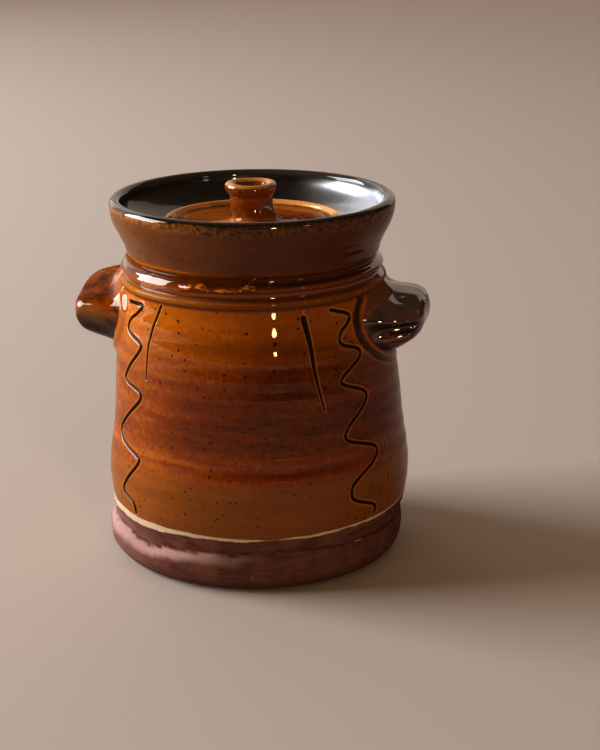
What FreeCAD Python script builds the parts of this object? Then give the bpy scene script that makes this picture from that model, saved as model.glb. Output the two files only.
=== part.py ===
import FreeCAD, Part
import math
import operator
import os
from types import SimpleNamespace

import Sketcher

# A small stoneware storage jar, thrown on a wheel, with two lug handles pressed on at the
# shoulder and a lid that drops into a gallery inside the flared collar.
# The axis of the pot is Z, the foot stands on Z = 0 and the lugs point along +X and -X.

DOCUMENT = "LiddedJar"
SHEET = "Sizes"

# Driving dimensions, in millimetres.
DIMENSIONS = [
    # the thrown wall, from the foot to the lip
    ("mouth_height", 126.0, "foot to the top of the lip"),
    ("foot_radius", 51.4, "outside of the bare clay band"),
    ("foot_round", 6.0, "rounding of the foot where it meets the table"),
    ("band_height", 16.0, "level of the slight pinch over the bare clay band"),
    ("band_pinch", 0.6, "how far the pinch draws the wall in"),
    ("belly_pull", 54.8, "pole that draws the belly out; the wall stays inside it"),
    ("belly_height", 30.0, "level of the belly"),
    ("waist_radius", 50.0, "pole that draws the wall in over the belly"),
    ("waist_height", 46.0, "level of that pole"),
    ("upper_radius", 49.8, "pole of the upper body, under the lugs"),
    ("upper_height", 70.0, "level of that pole"),
    ("shoulder_radius", 45.0, "top of the shoulder, under the bead"),
    ("shoulder_height", 96.4, "level of the top of the shoulder"),
    ("bead_width", 3.0, "height of the low bead on the shoulder"),
    ("bead_bulge", 2.2, "radius of the low bead"),
    ("channel_radius", 44.0, "bottom of the turned channel over the bead"),
    ("channel_height", 101.4, "level of the channel"),
    ("crest_rise", 4.6, "height of the thrown crest over the channel"),
    ("crest_bulge", 2.8, "radius of the crest"),
    ("neck_radius", 43.4, "narrowest part of the neck"),
    ("rim_radius", 49.0, "outside of the flared collar"),
    ("lip_radius", 2.0, "rounding of the lip, half its thickness"),
    ("wall", 5.0, "thrown wall"),
    ("floor", 6.5, "thickness of the floor"),
    ("inner_round", 11.0, "rounding between the floor and the wall"),
    # the gallery that carries the lid
    ("gallery_drop", 13.6, "top of the lip down to the ledge"),
    ("gallery_width", 5.0, "width of the ledge"),
    ("gallery_depth", 4.6, "thickness of the ledge at its inner edge"),
    ("lid_play", 1.2, "room round the lid at the ledge"),
    ("throat_play", 0.9, "room round the locating ring in the throat"),
    # the lid
    ("lid_radius", 31.0, "outside of the lid"),
    ("lid_edge", 6.0, "height of the lid's raised edge"),
    ("edge_width", 2.6, "width of the raised edge"),
    ("plate", 4.2, "thickness of the lid's plate"),
    ("ring_depth", 5.5, "locating ring below the plate"),
    ("ring_wall", 3.6, "thickness of the locating ring"),
    ("knob_height", 18.0, "top of the knob over the ledge"),
    ("knob_radius", 8.8, "outside of the knob"),
    ("knob_round", 1.7, "rounding of the knob's rim"),
    ("knob_waist", 7.2, "narrowest part of the knob"),
    ("knob_flare", 11.0, "where the knob spreads into the plate"),
    ("dimple", 3.0, "depth of the thumb dimple in the knob"),
    # the lugs
    ("lug_reach", 61.5, "axis to the tip of each lug"),
    ("lug_level", 86.0, "level of the ridge round the lug"),
    ("lug_half", 20.0, "half width of the lug"),
    ("lug_rise", 9.0, "top of the left lug over the ridge"),
    ("lug_flat_rise", 6.4, "top of the flatter right lug over the ridge"),
    ("lug_under", 11.0, "bottom of the lug below the ridge"),
    ("lug_tip_round", 1.6, "rounding of the lug's blunt tip"),
    ("lug_root_round", 3.0, "thumbed hollow where the lug meets the wall"),
    ("crease_drop", 6.0, "ridge down to the crease pressed into the right lug"),
    ("crease_length", 8.0, "half length of the crease, outwards"),
    ("crease_depth", 4.5, "how deep the crease is pressed into the end of the lug"),
    ("crease_gape", 2.0, "half height of the crease"),
]


# The lug from its root to its tip: how far out, how wide, how high over and how deep under the
# ridge each section is, as shares of the reach, the half width, the rise and the depth.
LUG_STATIONS = [
    (0.00, 1.05, 1.20, 1.22),
    (0.45, 0.95, 0.98, 1.02),
    (0.80, 0.82, 0.78, 0.74),
    (1.00, 0.52, 0.25, 0.36),
]


class Size:
    """A length kept as its number and as the sheet formula that drives it."""

    def __init__(self, number, formula):
        self.number = number
        self.formula = formula

    def __add__(self, other):
        return combined(self, "+", other)

    def __sub__(self, other):
        return combined(self, "-", other)

    def __mul__(self, other):
        return combined(self, "*", other)

    def __truediv__(self, other):
        return combined(self, "/", other)

    def __rsub__(self, other):
        return combined(other, "-", self)

    def __radd__(self, other):
        return combined(other, "+", self)

    def __rmul__(self, other):
        return combined(other, "*", self)

    def __neg__(self):
        return combined(0.0, "-", self)


SIGNS = {"+": operator.add, "-": operator.sub, "*": operator.mul, "/": operator.truediv}


def as_size(value):
    """Wrap a plain number, so that it can be written into a formula."""
    if isinstance(value, Size):
        return value
    return Size(float(value), repr(float(value)))


def combined(left, sign, right):
    """Work out the number and the formula of two sizes at once."""
    left = as_size(left)
    right = as_size(right)
    number = SIGNS[sign](left.number, right.number)
    return Size(number, f"({left.formula} {sign} {right.formula})")


def write_sheet(doc):
    """Put every driving dimension in the sheet, and return them as Size values by name."""
    sheet = doc.addObject("Spreadsheet::Sheet", SHEET)
    for row, (alias, value, note) in enumerate(DIMENSIONS, start=1):
        sheet.set(f"A{row}", note)
        sheet.set(f"B{row}", str(value))
        sheet.setAlias(f"B{row}", alias)
    doc.recompute()
    named = {alias: Size(float(sheet.get(alias)), f"{SHEET}.{alias}") for alias, _, _ in DIMENSIONS}
    return SimpleNamespace(**named)


def bind(feature, **properties):
    """Drive properties of a feature from the sheet; a double underscore stands for a dot."""
    for name, size in properties.items():
        feature.setExpression(name.replace("__", "."), as_size(size).formula)


def new_body(doc, name):
    """Start a sub-part: a body whose Label names its file."""
    body = doc.addObject("PartDesign::Body", name)
    body.Label = name
    body.Placement = FreeCAD.Placement()
    return body


def origin_plane(body, role):
    """Find one of the body's own origin planes."""
    return next(item for item in body.Origin.OriginFeatures if item.Role == role)


class Outline:
    """A closed outline drawn edge by edge in a sketch, with every corner tied to its sizes."""

    ROOT = (-1, 1)
    HORIZONTAL_AXIS = -1
    VERTICAL_AXIS = -2
    START, END, CENTRE = 1, 2, 3

    def __init__(self, body, name, plane="XZ_Plane", offset=None):
        self.sketch = body.newObject("Sketcher::SketchObject", name)
        self.sketch.AttachmentSupport = [(origin_plane(body, plane), "")]
        self.sketch.MapMode = "FlatFace"
        if offset is not None:
            self.sketch.AttachmentOffset.Base.z = offset.number
            bind(self.sketch, AttachmentOffset__Base__z=offset)
        self.corners = []
        self.first = None
        self.last = None

    def start(self, across, up):
        """Set the corner that the first edge leaves from and the last edge comes back to."""
        self.corners = [(as_size(across), as_size(up))]
        return self

    def line_to(self, across, up):
        """Draw a straight edge to a corner."""
        here, there = self.corners[-1], (as_size(across), as_size(up))
        edge = self.sketch.addGeometry(Part.LineSegment(point(here), point(there)), False)
        return self.joined(edge, self.START, self.END, there)

    def arc_to(self, across, up, radius, turn):
        """Draw an arc to a corner; turn is +1 to the left and -1 to the right."""
        here, there = self.corners[-1], (as_size(across), as_size(up))
        radius = as_size(radius)
        centre = arc_centre(point(here), point(there), radius.number, turn)
        begin, finish = (point(here), point(there)) if turn > 0 else (point(there), point(here))
        low = math.atan2(begin.y - centre.y, begin.x - centre.x)
        high = math.atan2(finish.y - centre.y, finish.x - centre.x)
        circle = Part.Circle(centre, FreeCAD.Vector(0, 0, 1), radius.number)
        edge = self.sketch.addGeometry(Part.ArcOfCircle(circle, low, high), False)
        ends = (self.START, self.END) if turn > 0 else (self.END, self.START)
        self.joined(edge, *ends, there)
        self.measure("Radius", radius, edge)
        return self

    def curve_to(self, *poles):
        """Draw a smooth curve that leaves along its first pole and ends on its last."""
        poles = [self.corners[-1]] + [(as_size(across), as_size(up)) for across, up in poles]
        spline = Part.BSplineCurve()
        spline.buildFromPoles([point(pole) for pole in poles], False, 3)
        edge = self.sketch.addGeometry(spline, False)
        handles = [self.handle(pole) for pole in poles]
        for order, handle in enumerate(handles):
            self.sketch.addConstraint(Sketcher.Constraint(
                "InternalAlignment:Sketcher::BSplineControlPoint", handle, self.CENTRE, edge, order))
        for handle, pole in zip(handles[1:-1], poles[1:-1]):
            self.pin(handle, self.CENTRE, pole)
        return self.joined(edge, self.START, self.END, poles[-1])

    def close(self):
        """Tie the last edge back to the first one, and check that the sketch solves."""
        self.sketch.addConstraint(Sketcher.Constraint("Coincident", *self.last, *self.first))
        if self.sketch.solve() != 0:
            raise RuntimeError(f"{self.sketch.Name} does not solve")
        return self.sketch

    def handle(self, pole):
        """Add the construction circle that carries one pole of a curve."""
        circle = Part.Circle(point(pole), FreeCAD.Vector(0, 0, 1), 1.0)
        handle = self.sketch.addGeometry(circle, True)
        self.sketch.addConstraint(Sketcher.Constraint("Weight", handle, 1.0))
        return handle

    def joined(self, edge, start, end, there):
        """Join an edge to the last one and pin its far end, unless it closes the outline."""
        if self.last is None:
            self.first = (edge, start)
            self.pin(edge, start, self.corners[0])
        else:
            self.sketch.addConstraint(Sketcher.Constraint("Coincident", *self.last, edge, start))
        home = self.corners[0]
        if (point(there) - point(home)).Length > 1e-9:
            self.pin(edge, end, there)
        self.last = (edge, end)
        self.corners.append(there)
        return self

    def pin(self, edge, position, corner):
        """Hold a point at its distance from both axes."""
        across, up = corner
        for size, kind, axis in ((across, "DistanceX", self.VERTICAL_AXIS),
                                 (up, "DistanceY", self.HORIZONTAL_AXIS)):
            if size.number == 0.0:
                self.sketch.addConstraint(Sketcher.Constraint("PointOnObject", edge, position, axis))
            else:
                self.measure(kind, size, *self.ROOT, edge, position)

    def measure(self, kind, size, *items):
        """Add a driving constraint whose value follows the sheet."""
        index = self.sketch.addConstraint(Sketcher.Constraint(kind, *items, size.number))
        self.sketch.setExpression(f"Constraints[{index}]", size.formula)


def point(corner):
    """Turn a pair of sizes into a point of the sketch."""
    across, up = corner
    return FreeCAD.Vector(across.number, up.number, 0)


def arc_centre(begin, finish, radius, turn):
    """Find the centre of the shorter arc between two points."""
    chord = finish - begin
    middle = (begin + finish) / 2
    rise = math.sqrt(max(radius ** 2 - chord.Length ** 2 / 4, 0.0))
    left = FreeCAD.Vector(-chord.y, chord.x, 0).normalize()
    return middle + left * (rise * turn)


def turn_solid(body, kind, name, sketch):
    """Turn an outline round the pot's axis, to add a solid or to cut one away."""
    feature = body.newObject(f"PartDesign::{kind}", name)
    feature.Profile = sketch
    feature.ReferenceAxis = (sketch, ["V_Axis"])
    feature.Angle = 360
    sketch.Visibility = False
    return feature


def pot_levels(size):
    """Work out the places that the pot, its gallery and the lid share."""
    ledge = size.mouth_height - size.gallery_drop
    return SimpleNamespace(
        ledge=ledge,
        ledge_outer=size.lid_radius + size.lid_play,
        throat=size.lid_radius + size.lid_play - size.gallery_width,
        bead_top=size.shoulder_height + size.bead_width,
        crest_top=size.channel_height + size.crest_rise,
        lip_centre=size.rim_radius - size.lip_radius,
        lip_level=size.mouth_height - size.lip_radius,
    )


def draw_outside(body, size, level):
    """The outside of the pot: rounded foot, belly, shoulder bead, crest and flared collar."""
    flare = level.lip_level - level.crest_top
    outline = Outline(body, "OutsideOutline").start(0, 0)
    outline.line_to(size.foot_radius - size.foot_round, 0)
    outline.curve_to((size.foot_radius - size.foot_round / 3, 0),
                     (size.foot_radius, size.foot_round / 3),
                     (size.foot_radius, size.foot_round))
    outline.curve_to((size.foot_radius - size.band_pinch, size.band_height),
                     (size.belly_pull, size.belly_height),
                     (size.waist_radius, size.waist_height),
                     (size.upper_radius, size.upper_height),
                     (size.shoulder_radius, size.shoulder_height))
    outline.arc_to(size.shoulder_radius, level.bead_top, size.bead_bulge, 1)
    outline.line_to(size.channel_radius, size.channel_height)
    outline.arc_to(size.neck_radius, level.crest_top, size.crest_bulge, 1)
    outline.curve_to((size.neck_radius, level.crest_top + flare / 4),
                     (size.rim_radius - size.lip_radius, level.crest_top + flare * 0.55),
                     (size.rim_radius, level.lip_level - flare / 5),
                     (size.rim_radius, level.lip_level))
    outline.arc_to(level.lip_centre, size.mouth_height, size.lip_radius, 1)
    outline.line_to(0, size.mouth_height)
    outline.line_to(0, 0)
    return outline.close()


def draw_inside(body, size, level):
    """The inside of the pot: funnel of the collar, gallery ledge, throat, chamber and floor."""
    over = size.mouth_height + size.lip_radius
    inner_lip = level.lip_centre - size.lip_radius
    under_ledge = level.ledge - size.gallery_depth
    funnel = level.lip_level - level.ledge
    shoulder = size.shoulder_radius - size.wall
    outline = Outline(body, "InsideOutline").start(0, size.floor)
    outline.line_to(size.foot_radius - size.wall - size.inner_round, size.floor)
    outline.curve_to((size.foot_radius - size.wall - size.inner_round / 3, size.floor),
                     (size.foot_radius - size.wall, size.floor + size.inner_round / 3),
                     (size.foot_radius - size.wall, size.floor + size.inner_round))
    outline.curve_to((size.belly_pull - size.wall, size.belly_height),
                     (size.waist_radius - size.wall, size.waist_height),
                     (size.upper_radius - size.wall, size.upper_height),
                     (shoulder, size.shoulder_height),
                     (level.throat + size.wall, under_ledge),
                     (level.throat, under_ledge))
    outline.line_to(level.throat, level.ledge)
    outline.line_to(level.ledge_outer, level.ledge)
    outline.curve_to((level.ledge_outer, level.ledge + funnel / 4),
                     (inner_lip - size.wall, level.ledge + funnel / 3),
                     (inner_lip, level.lip_level - funnel / 4),
                     (inner_lip, level.lip_level))
    outline.arc_to(level.lip_centre, size.mouth_height, size.lip_radius, -1)
    outline.line_to(level.lip_centre, over)
    outline.line_to(0, over)
    outline.line_to(0, size.floor)
    return outline.close()


def lug_section(body, name, size, side, place, half, rise, under):
    """One upright section of a lug: a low arch over the ridge and a deeper bowl under it."""
    outline = Outline(body, name, "YZ_Plane", place * side).start(-half, size.lug_level)
    outline.curve_to((-half, size.lug_level - under * 0.7),
                     (-half * 0.5, size.lug_level - under * 1.15),
                     (half * 0.5, size.lug_level - under * 1.15),
                     (half, size.lug_level - under * 0.7),
                     (half, size.lug_level))
    outline.curve_to((half, size.lug_level + rise),
                     (half * 0.6, size.lug_level + rise),
                     (-half * 0.6, size.lug_level + rise),
                     (-half, size.lug_level + rise),
                     (-half, size.lug_level))
    return outline.close()


def add_lug(body, size, side, name):
    """Loft a lug from its broad root in the wall to its blunt tip, and round the tip."""
    root = size.shoulder_radius - size.wall
    reach = size.lug_reach - root
    rise = size.lug_flat_rise if side > 0 else size.lug_rise
    sections = [
        lug_section(body, f"{name}Section{order}", size, side, root + reach * far,
                    size.lug_half * wide, rise * tall, size.lug_under * deep)
        for order, (far, wide, tall, deep) in enumerate(LUG_STATIONS)
    ]
    loft = body.newObject("PartDesign::AdditiveLoft", name)
    loft.Profile = sections[0]
    loft.Sections = sections[1:]
    loft.Ruled = False
    loft.Closed = False
    return loft


def press_crease(body, size):
    """Press a finger crease into the front end of the right lug, under its ridge."""
    crease = body.newObject("PartDesign::SubtractiveEllipsoid", "PressedCrease")
    bind(crease, Radius1=size.crease_gape, Radius2=size.crease_length, Radius3=size.crease_depth)
    bind(crease, Placement__Base__x=size.lug_reach - size.crease_length,
         Placement__Base__y=-(size.lug_half - size.crease_depth / 4),
         Placement__Base__z=size.lug_level - size.crease_drop)
    return crease


def round_edges(body, name, radius, chosen):
    """Round the edges of the body that lie where they are wanted."""
    base = body.Tip
    edges = [f"Edge{order}" for order, edge in enumerate(base.Shape.Edges, start=1) if chosen(edge)]
    if not edges:
        raise RuntimeError(f"{name} finds no edge")
    fillet = body.newObject("PartDesign::Fillet", name)
    fillet.Base = (base, edges)
    bind(fillet, Radius=radius)
    return fillet


def on_tip(size):
    """Tell whether an edge bounds the blunt end of a lug."""
    def chosen(edge):
        box = edge.BoundBox
        return min(abs(box.XMin), abs(box.XMax)) > size.lug_reach.number - 0.01
    return chosen


def on_root(size):
    """Tell whether an edge runs where a lug meets the thrown wall."""
    low = (size.lug_level - size.lug_under * 1.4).number
    high = (size.lug_level + size.lug_rise * 2).number
    inner = (size.shoulder_radius - size.wall).number
    outer = (size.shoulder_radius + size.wall).number

    def chosen(edge):
        box = edge.BoundBox
        near, far = sorted((abs(box.XMin), abs(box.XMax)))
        beside = box.XMin * box.XMax > 0
        return beside and near > inner and far < outer and low < box.ZMin and box.ZMax < high
    return chosen


def make_jar(doc, size, level):
    """The pot itself, with its two lugs."""
    body = new_body(doc, "jar")
    turn_solid(body, "Revolution", "ThrownForm", draw_outside(body, size, level))
    doc.recompute()
    add_lug(body, size, 1, "LugRight")
    doc.recompute()
    add_lug(body, size, -1, "LugLeft")
    doc.recompute()
    round_edges(body, "LugTips", size.lug_tip_round, on_tip(size))
    doc.recompute()
    round_edges(body, "LugRoots", size.lug_root_round, on_root(size))
    doc.recompute()
    whole = body.Shape.Volume
    press_crease(body, size)
    doc.recompute()
    if body.Shape.Volume >= whole:
        raise RuntimeError("the crease misses the lug")
    turn_solid(body, "Groove", "ThrownHollow", draw_inside(body, size, level))
    doc.recompute()
    return body


def draw_lid(body, size, level):
    """The lid in section: locating ring, plate, raised edge, flared knob and its dimple."""
    top = level.ledge + size.plate
    crown = level.ledge + size.lid_edge
    ring_outer = level.throat - size.throat_play
    ring_inner = ring_outer - size.ring_wall
    ring_tip = size.ring_wall / 2
    ring_end = level.ledge - size.ring_depth + ring_tip
    edge_tip = size.edge_width / 2
    edge_inner = size.lid_radius - size.edge_width
    knob_top = level.ledge + size.knob_height
    rim_centre = size.knob_radius - size.knob_round
    rim_level = knob_top - size.knob_round
    neck = rim_level - top
    outline = Outline(body, "LidOutline").start(0, level.ledge)
    outline.line_to(ring_inner, level.ledge)
    outline.line_to(ring_inner, ring_end)
    outline.arc_to(ring_inner + ring_tip, ring_end - ring_tip, ring_tip, 1)
    outline.arc_to(ring_outer, ring_end, ring_tip, 1)
    outline.line_to(ring_outer, level.ledge)
    outline.line_to(size.lid_radius - edge_tip, level.ledge)
    outline.arc_to(size.lid_radius, level.ledge + edge_tip, edge_tip, 1)
    outline.line_to(size.lid_radius, crown - edge_tip)
    outline.arc_to(size.lid_radius - edge_tip, crown, edge_tip, 1)
    outline.arc_to(edge_inner, crown - edge_tip, edge_tip, 1)
    outline.curve_to((edge_inner, top),
                     (edge_inner - edge_tip, top),
                     (size.knob_flare, top))
    outline.curve_to((size.knob_flare - size.knob_round * 1.5, top),
                     (size.knob_waist, top + neck * 0.3),
                     (size.knob_waist, top + neck * 0.65),
                     (size.knob_radius, rim_level - size.knob_round * 1.5),
                     (size.knob_radius, rim_level))
    outline.arc_to(rim_centre, knob_top, size.knob_round, 1)
    outline.curve_to((rim_centre - size.knob_round, knob_top),
                     (rim_centre - size.knob_round, knob_top - size.dimple),
                     (0, knob_top - size.dimple))
    outline.line_to(0, level.ledge)
    return outline.close()


def make_lid(doc, size, level):
    """The lid, turned in one piece with its knob, resting on the gallery ledge."""
    body = new_body(doc, "lid")
    turn_solid(body, "Revolution", "ThrownLid", draw_lid(body, size, level))
    doc.recompute()
    return body


def check_document(doc, bodies):
    """Stop if any feature failed or any sub-part is not one whole solid."""
    for item in doc.Objects:
        if "Invalid" in item.State or "Error" in item.State:
            raise RuntimeError(f"{item.Name} failed: {item.State}")
    for body in bodies:
        shape = body.Shape
        if shape.isNull() or not shape.isValid() or len(shape.Solids) != 1:
            raise RuntimeError(f"{body.Label} is not one valid solid")


def main():
    doc = FreeCAD.newDocument(DOCUMENT)
    size = write_sheet(doc)
    level = pot_levels(size)
    bodies = [make_jar(doc, size, level), make_lid(doc, size, level)]
    doc.recompute()
    check_document(doc, bodies)
    os.makedirs("parts", exist_ok=True)
    for body in bodies:
        body.Shape.exportStep(f"parts/{body.Label}.step")
        box = body.Shape.BoundBox
        print(f"{body.Label}: {body.Shape.Volume / 1000:.1f} cm3, "
              f"X {box.XMin:.2f}..{box.XMax:.2f}, Y {box.YMin:.2f}..{box.YMax:.2f}, "
              f"Z {box.ZMin:.2f}..{box.ZMax:.2f}")


main()
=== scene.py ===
"""A lidded stoneware jar: amber glaze over red clay, scratched waves, two pressed lugs and a sunk lid."""

import logging
import math
from collections.abc import Iterator, Mapping, Sequence
from contextlib import contextmanager
from dataclasses import astuple, dataclass, replace
from enum import Enum
from typing import Any

import bpy
import numpy as np
from mathutils import Matrix, Vector, noise


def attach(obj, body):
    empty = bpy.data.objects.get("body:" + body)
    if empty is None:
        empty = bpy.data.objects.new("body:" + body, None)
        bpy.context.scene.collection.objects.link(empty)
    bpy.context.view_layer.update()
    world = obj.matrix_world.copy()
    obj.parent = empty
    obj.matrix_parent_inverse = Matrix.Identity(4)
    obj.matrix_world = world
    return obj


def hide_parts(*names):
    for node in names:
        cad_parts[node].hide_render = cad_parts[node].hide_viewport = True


LOG = logging.getLogger("jar")
MM = 0.001  # metres in a millimetre
METRE = 1000.0  # millimetres in a metre
AWAY = 9.0  # millimetres past which a point counts as clear of a scratch or a seam
COVERED = 20.0  # millimetres above the glaze line that count as glazed all over
Colour = tuple[float, float, float]
Point = tuple[float, float]

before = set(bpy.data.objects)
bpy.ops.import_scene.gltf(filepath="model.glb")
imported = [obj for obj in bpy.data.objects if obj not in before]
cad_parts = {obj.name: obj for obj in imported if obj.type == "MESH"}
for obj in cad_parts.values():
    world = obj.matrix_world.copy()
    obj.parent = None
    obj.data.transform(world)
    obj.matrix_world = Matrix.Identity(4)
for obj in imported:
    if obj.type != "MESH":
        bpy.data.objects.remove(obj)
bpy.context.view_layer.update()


class Side(Enum):
    """The two ends of the jar's long axis."""

    LEFT = -1
    RIGHT = 1


class Picks(Enum):
    """What a selection is made of in edit mode."""

    POINTS = (True, False, False)
    EDGES = (False, True, False)
    FACES = (False, False, True)


# ---------------------------------------------------------------- shader sums


class Value:
    """A shader socket that takes part in ordinary sums."""

    def __init__(self, bench: "Bench", socket: bpy.types.NodeSocket) -> None:
        """Keep the bench that owns the socket.

        Args:
            bench: The material bench that the socket is on.
            socket: The output socket.
        """
        self.bench = bench
        self.socket = socket

    def __add__(self, other: "Value | float") -> "Value":
        """Self plus other."""
        return self.bench.maths("ADD", self, other)

    __radd__ = __add__

    def __mul__(self, other: "Value | float") -> "Value":
        """Self times other."""
        return self.bench.maths("MULTIPLY", self, other)

    __rmul__ = __mul__

    def __sub__(self, other: "Value | float") -> "Value":
        """Self less other."""
        return self.bench.maths("SUBTRACT", self, other)

    def __rsub__(self, other: "Value | float") -> "Value":
        """Other less self."""
        return self.bench.maths("SUBTRACT", other, self)

    def __truediv__(self, other: "Value | float") -> "Value":
        """Self over other."""
        return self.bench.maths("DIVIDE", self, other)

    def __neg__(self) -> "Value":
        """Self with its sign turned."""
        return self.bench.maths("MULTIPLY", self, -1.0)


class Bench:
    """One material being mixed: its nodes, its colour so far and the recipes that every finish shares."""

    def __init__(self, name: str) -> None:
        """Start an empty material.

        Args:
            name: The material's name.
        """
        self.material = bpy.data.materials.new(name)
        self.material.use_nodes = True
        self.tree = self.material.node_tree
        self.tree.nodes.clear()
        self.place = self.out("ShaderNodeTexCoord", "Object")
        self.colour: Value | None = None

    def node(self, kind: str, settings: Mapping[str, Any], sockets: Mapping[Any, Any]) -> bpy.types.Node:
        """Make any node.

        Args:
            kind: The node's type.
            settings: Its settings, and for a ramp its stops as (place, colour) pairs.
            sockets: Links or plain values for its inputs, by name or number.

        Returns:
            The new node.
        """
        made = self.tree.nodes.new(kind)
        for name, setting in settings.items():
            if name == "stops":
                ramp = made.color_ramp
                while len(ramp.elements) < len(setting):
                    ramp.elements.new(0.5)
                for element, (place, colour) in zip(ramp.elements, setting):
                    element.position = place
                    element.color = (*colour, 1.0)
            else:
                setattr(made, name, setting)
        for key, wanted in sockets.items():
            if isinstance(wanted, Value):
                self.tree.links.new(wanted.socket, made.inputs[key])
            else:
                made.inputs[key].default_value = wanted
        return made

    def out(
            self, kind: str, output: str | int, sockets: Mapping[Any, Any] | None = None,
            **settings: Any) -> Value:
        """One output of a new node.

        Args:
            kind: The node's type.
            output: The output's name or number.
            sockets: Links or plain values for its inputs.
            settings: The node's settings.

        Returns:
            The output, ready for sums.
        """
        return Value(self, self.node(kind, settings, sockets or {}).outputs[output])

    def maths(self, operation: str, *terms: "Value | float") -> Value:
        """A Math node on one to three terms."""
        return self.out("ShaderNodeMath", 0, dict(enumerate(terms)), operation=operation)

    def attribute(self, name: str) -> Value:
        """A number stored on the piece's points."""
        return self.out("ShaderNodeAttribute", "Fac", attribute_name=name)

    def axes(self) -> tuple[Value, Value, Value]:
        """The place in millimetres, one value for each axis."""
        made = self.node("ShaderNodeSeparateXYZ", {}, {0: self.place})
        return tuple(Value(self, output) / MM for output in made.outputs)

    def stretched(self, x: float, y: float, z: float) -> Value:
        """The place with each axis scaled, so that a pattern runs long across the small ones."""
        return self.out("ShaderNodeVectorMath", 0, {0: self.place, 1: (x, y, z)}, operation="MULTIPLY")

    def noise(
            self, size: float, detail: float = 3.0, rough: float = 0.5,
            vector: Value | None = None) -> Value:
        """Soft lumps of about one size.

        Args:
            size: The size of a lump in millimetres.
            detail: How many finer layers are added.
            rough: How strong the finer layers are.
            vector: The coordinates, if not the plain place.

        Returns:
            A value round about a half.
        """
        sockets = {"Scale": METRE / size, "Detail": detail, "Roughness": rough}
        return self.out("ShaderNodeTexNoise", "Fac", {"Vector": vector or self.place} | sockets)

    def step(self, value: Value, low: float, high: float) -> Value:
        """Nought below low and one above high, with a smooth rise between."""
        sockets = {"Value": value, "From Min": low, "From Max": high}
        return self.out("ShaderNodeMapRange", "Result", sockets, interpolation_type="SMOOTHSTEP")

    def band(self, value: Value, low: float, full: float, fading: float, gone: float) -> Value:
        """One from full to fading, and nought below low and above gone."""
        return self.step(value, low, full) * (1.0 - self.step(value, fading, gone))

    def dots(self, spacing: float, size: float) -> Value:
        """Small round spots scattered on the surface, the largest nearly twice their usual size.

        Args:
            spacing: The usual distance between neighbours in millimetres.
            size: A spot's usual radius in millimetres.

        Returns:
            One inside a spot and nought outside.
        """
        share = size / spacing
        sockets = {"Vector": self.place, "Scale": METRE / spacing}
        cells = self.node("ShaderNodeTexVoronoi", {"feature": "F1"}, sockets)
        tint = self.out("ShaderNodeSeparateColor", 0, {0: Value(self, cells.outputs["Color"])})
        wobble = (self.noise(0.35 * spacing, 1.0) - 0.5) * (0.6 * share)
        far = Value(self, cells.outputs["Distance"]) + wobble
        return self.step(tint * (1.9 * share) - far, 0.0, 0.35 * share)

    def ramp(self, value: Value, stops: Sequence[tuple[float, Colour]]) -> Value:
        """A colour picked by a value."""
        return self.out("ShaderNodeValToRGB", "Color", {0: value}, stops=stops)

    def mix(self, share: Value | float, under: "Value | Colour", over: "Value | Colour") -> Value:
        """One colour laid over another.

        Args:
            share: How much of the upper colour shows.
            under: The lower colour.
            over: The upper colour.

        Returns:
            The mixed colour.
        """
        ends = [c if isinstance(c, Value) else (*c, 1.0) for c in (under, over)]
        return self.out("ShaderNodeMix", 2, {0: share, 6: ends[0], 7: ends[1]}, data_type="RGBA")

    def lay(self, share: Value | float, over: "Value | Colour") -> None:
        """Lay a share of a colour over the one mixed so far."""
        self.colour = self.mix(share, self.colour, over)

    def bump(self, height: Value, depth: float) -> Value:
        """The normal of a fine relief, its full depth in millimetres."""
        sockets = {"Strength": 1.0, "Distance": depth * MM, "Height": height}
        return self.out("ShaderNodeBump", "Normal", sockets)

    def finish(self, piece: bpy.types.Object, sockets: Mapping[str, Any]) -> None:
        """Close the material with its main shader and put it on the piece.

        Args:
            piece: The piece that wears the material.
            sockets: The shader's inputs by name, apart from its colour.
        """
        shader = self.out("ShaderNodeBsdfPrincipled", 0, {"Base Color": self.colour} | sockets)
        self.node("ShaderNodeOutputMaterial", {}, {"Surface": shader})
        piece.data.materials.clear()
        piece.data.materials.append(self.material)


# ---------------------------------------------------------------- shaping tools


def rise(value: np.ndarray, low: float, high: float) -> np.ndarray:
    """A smooth step for arrays, nought at low and one at high."""
    share = np.clip((value - low) / (high - low), 0.0, 1.0)
    return share * share * (3.0 - 2.0 * share)


def band(value: np.ndarray, low: float, full: float, fading: float, gone: float) -> np.ndarray:
    """One from full to fading, and nought below low and above gone."""
    return rise(value, low, full) * (1.0 - rise(value, fading, gone))


def within(value: np.ndarray, middle: float, full: float, gone: float) -> np.ndarray:
    """One within full of a middle, and nought farther from it than gone."""
    return rise(-np.abs(value - middle), -gone, -full)


def hump(value: np.ndarray, middle: float | np.ndarray, width: float) -> np.ndarray:
    """A bell of height one round a middle."""
    return np.exp(-(((value - middle) / width) ** 2))


def lumps(places: np.ndarray, size: float, seed: float = 0.0) -> np.ndarray:
    """Even soft lumps in space.

    Args:
        places: Points in millimetres, one to a row.
        size: The size of a lump in millimetres.
        seed: A shift that gives another set of lumps.

    Returns:
        A number from about -1 to 1 for each point.
    """
    shift = Vector((seed, seed * 0.37, seed * 0.71))
    return np.array([noise.noise(Vector(p) / size + shift) for p in places.tolist()]) * 1.6


def rows(items: Any, name: str) -> np.ndarray:
    """Read three numbers from each item of a mesh.

    Args:
        items: The mesh's points or faces.
        name: The property to read.

    Returns:
        The numbers, one item to a row.
    """
    flat = np.empty(len(items) * 3)
    items.foreach_get(name, flat)
    return flat.reshape(-1, 3)


def bearing(places: np.ndarray) -> np.ndarray:
    """The bearing of each place in degrees, nought at the front and growing to the right."""
    return np.degrees(np.arctan2(places[:, 0], -places[:, 1]))


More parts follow.
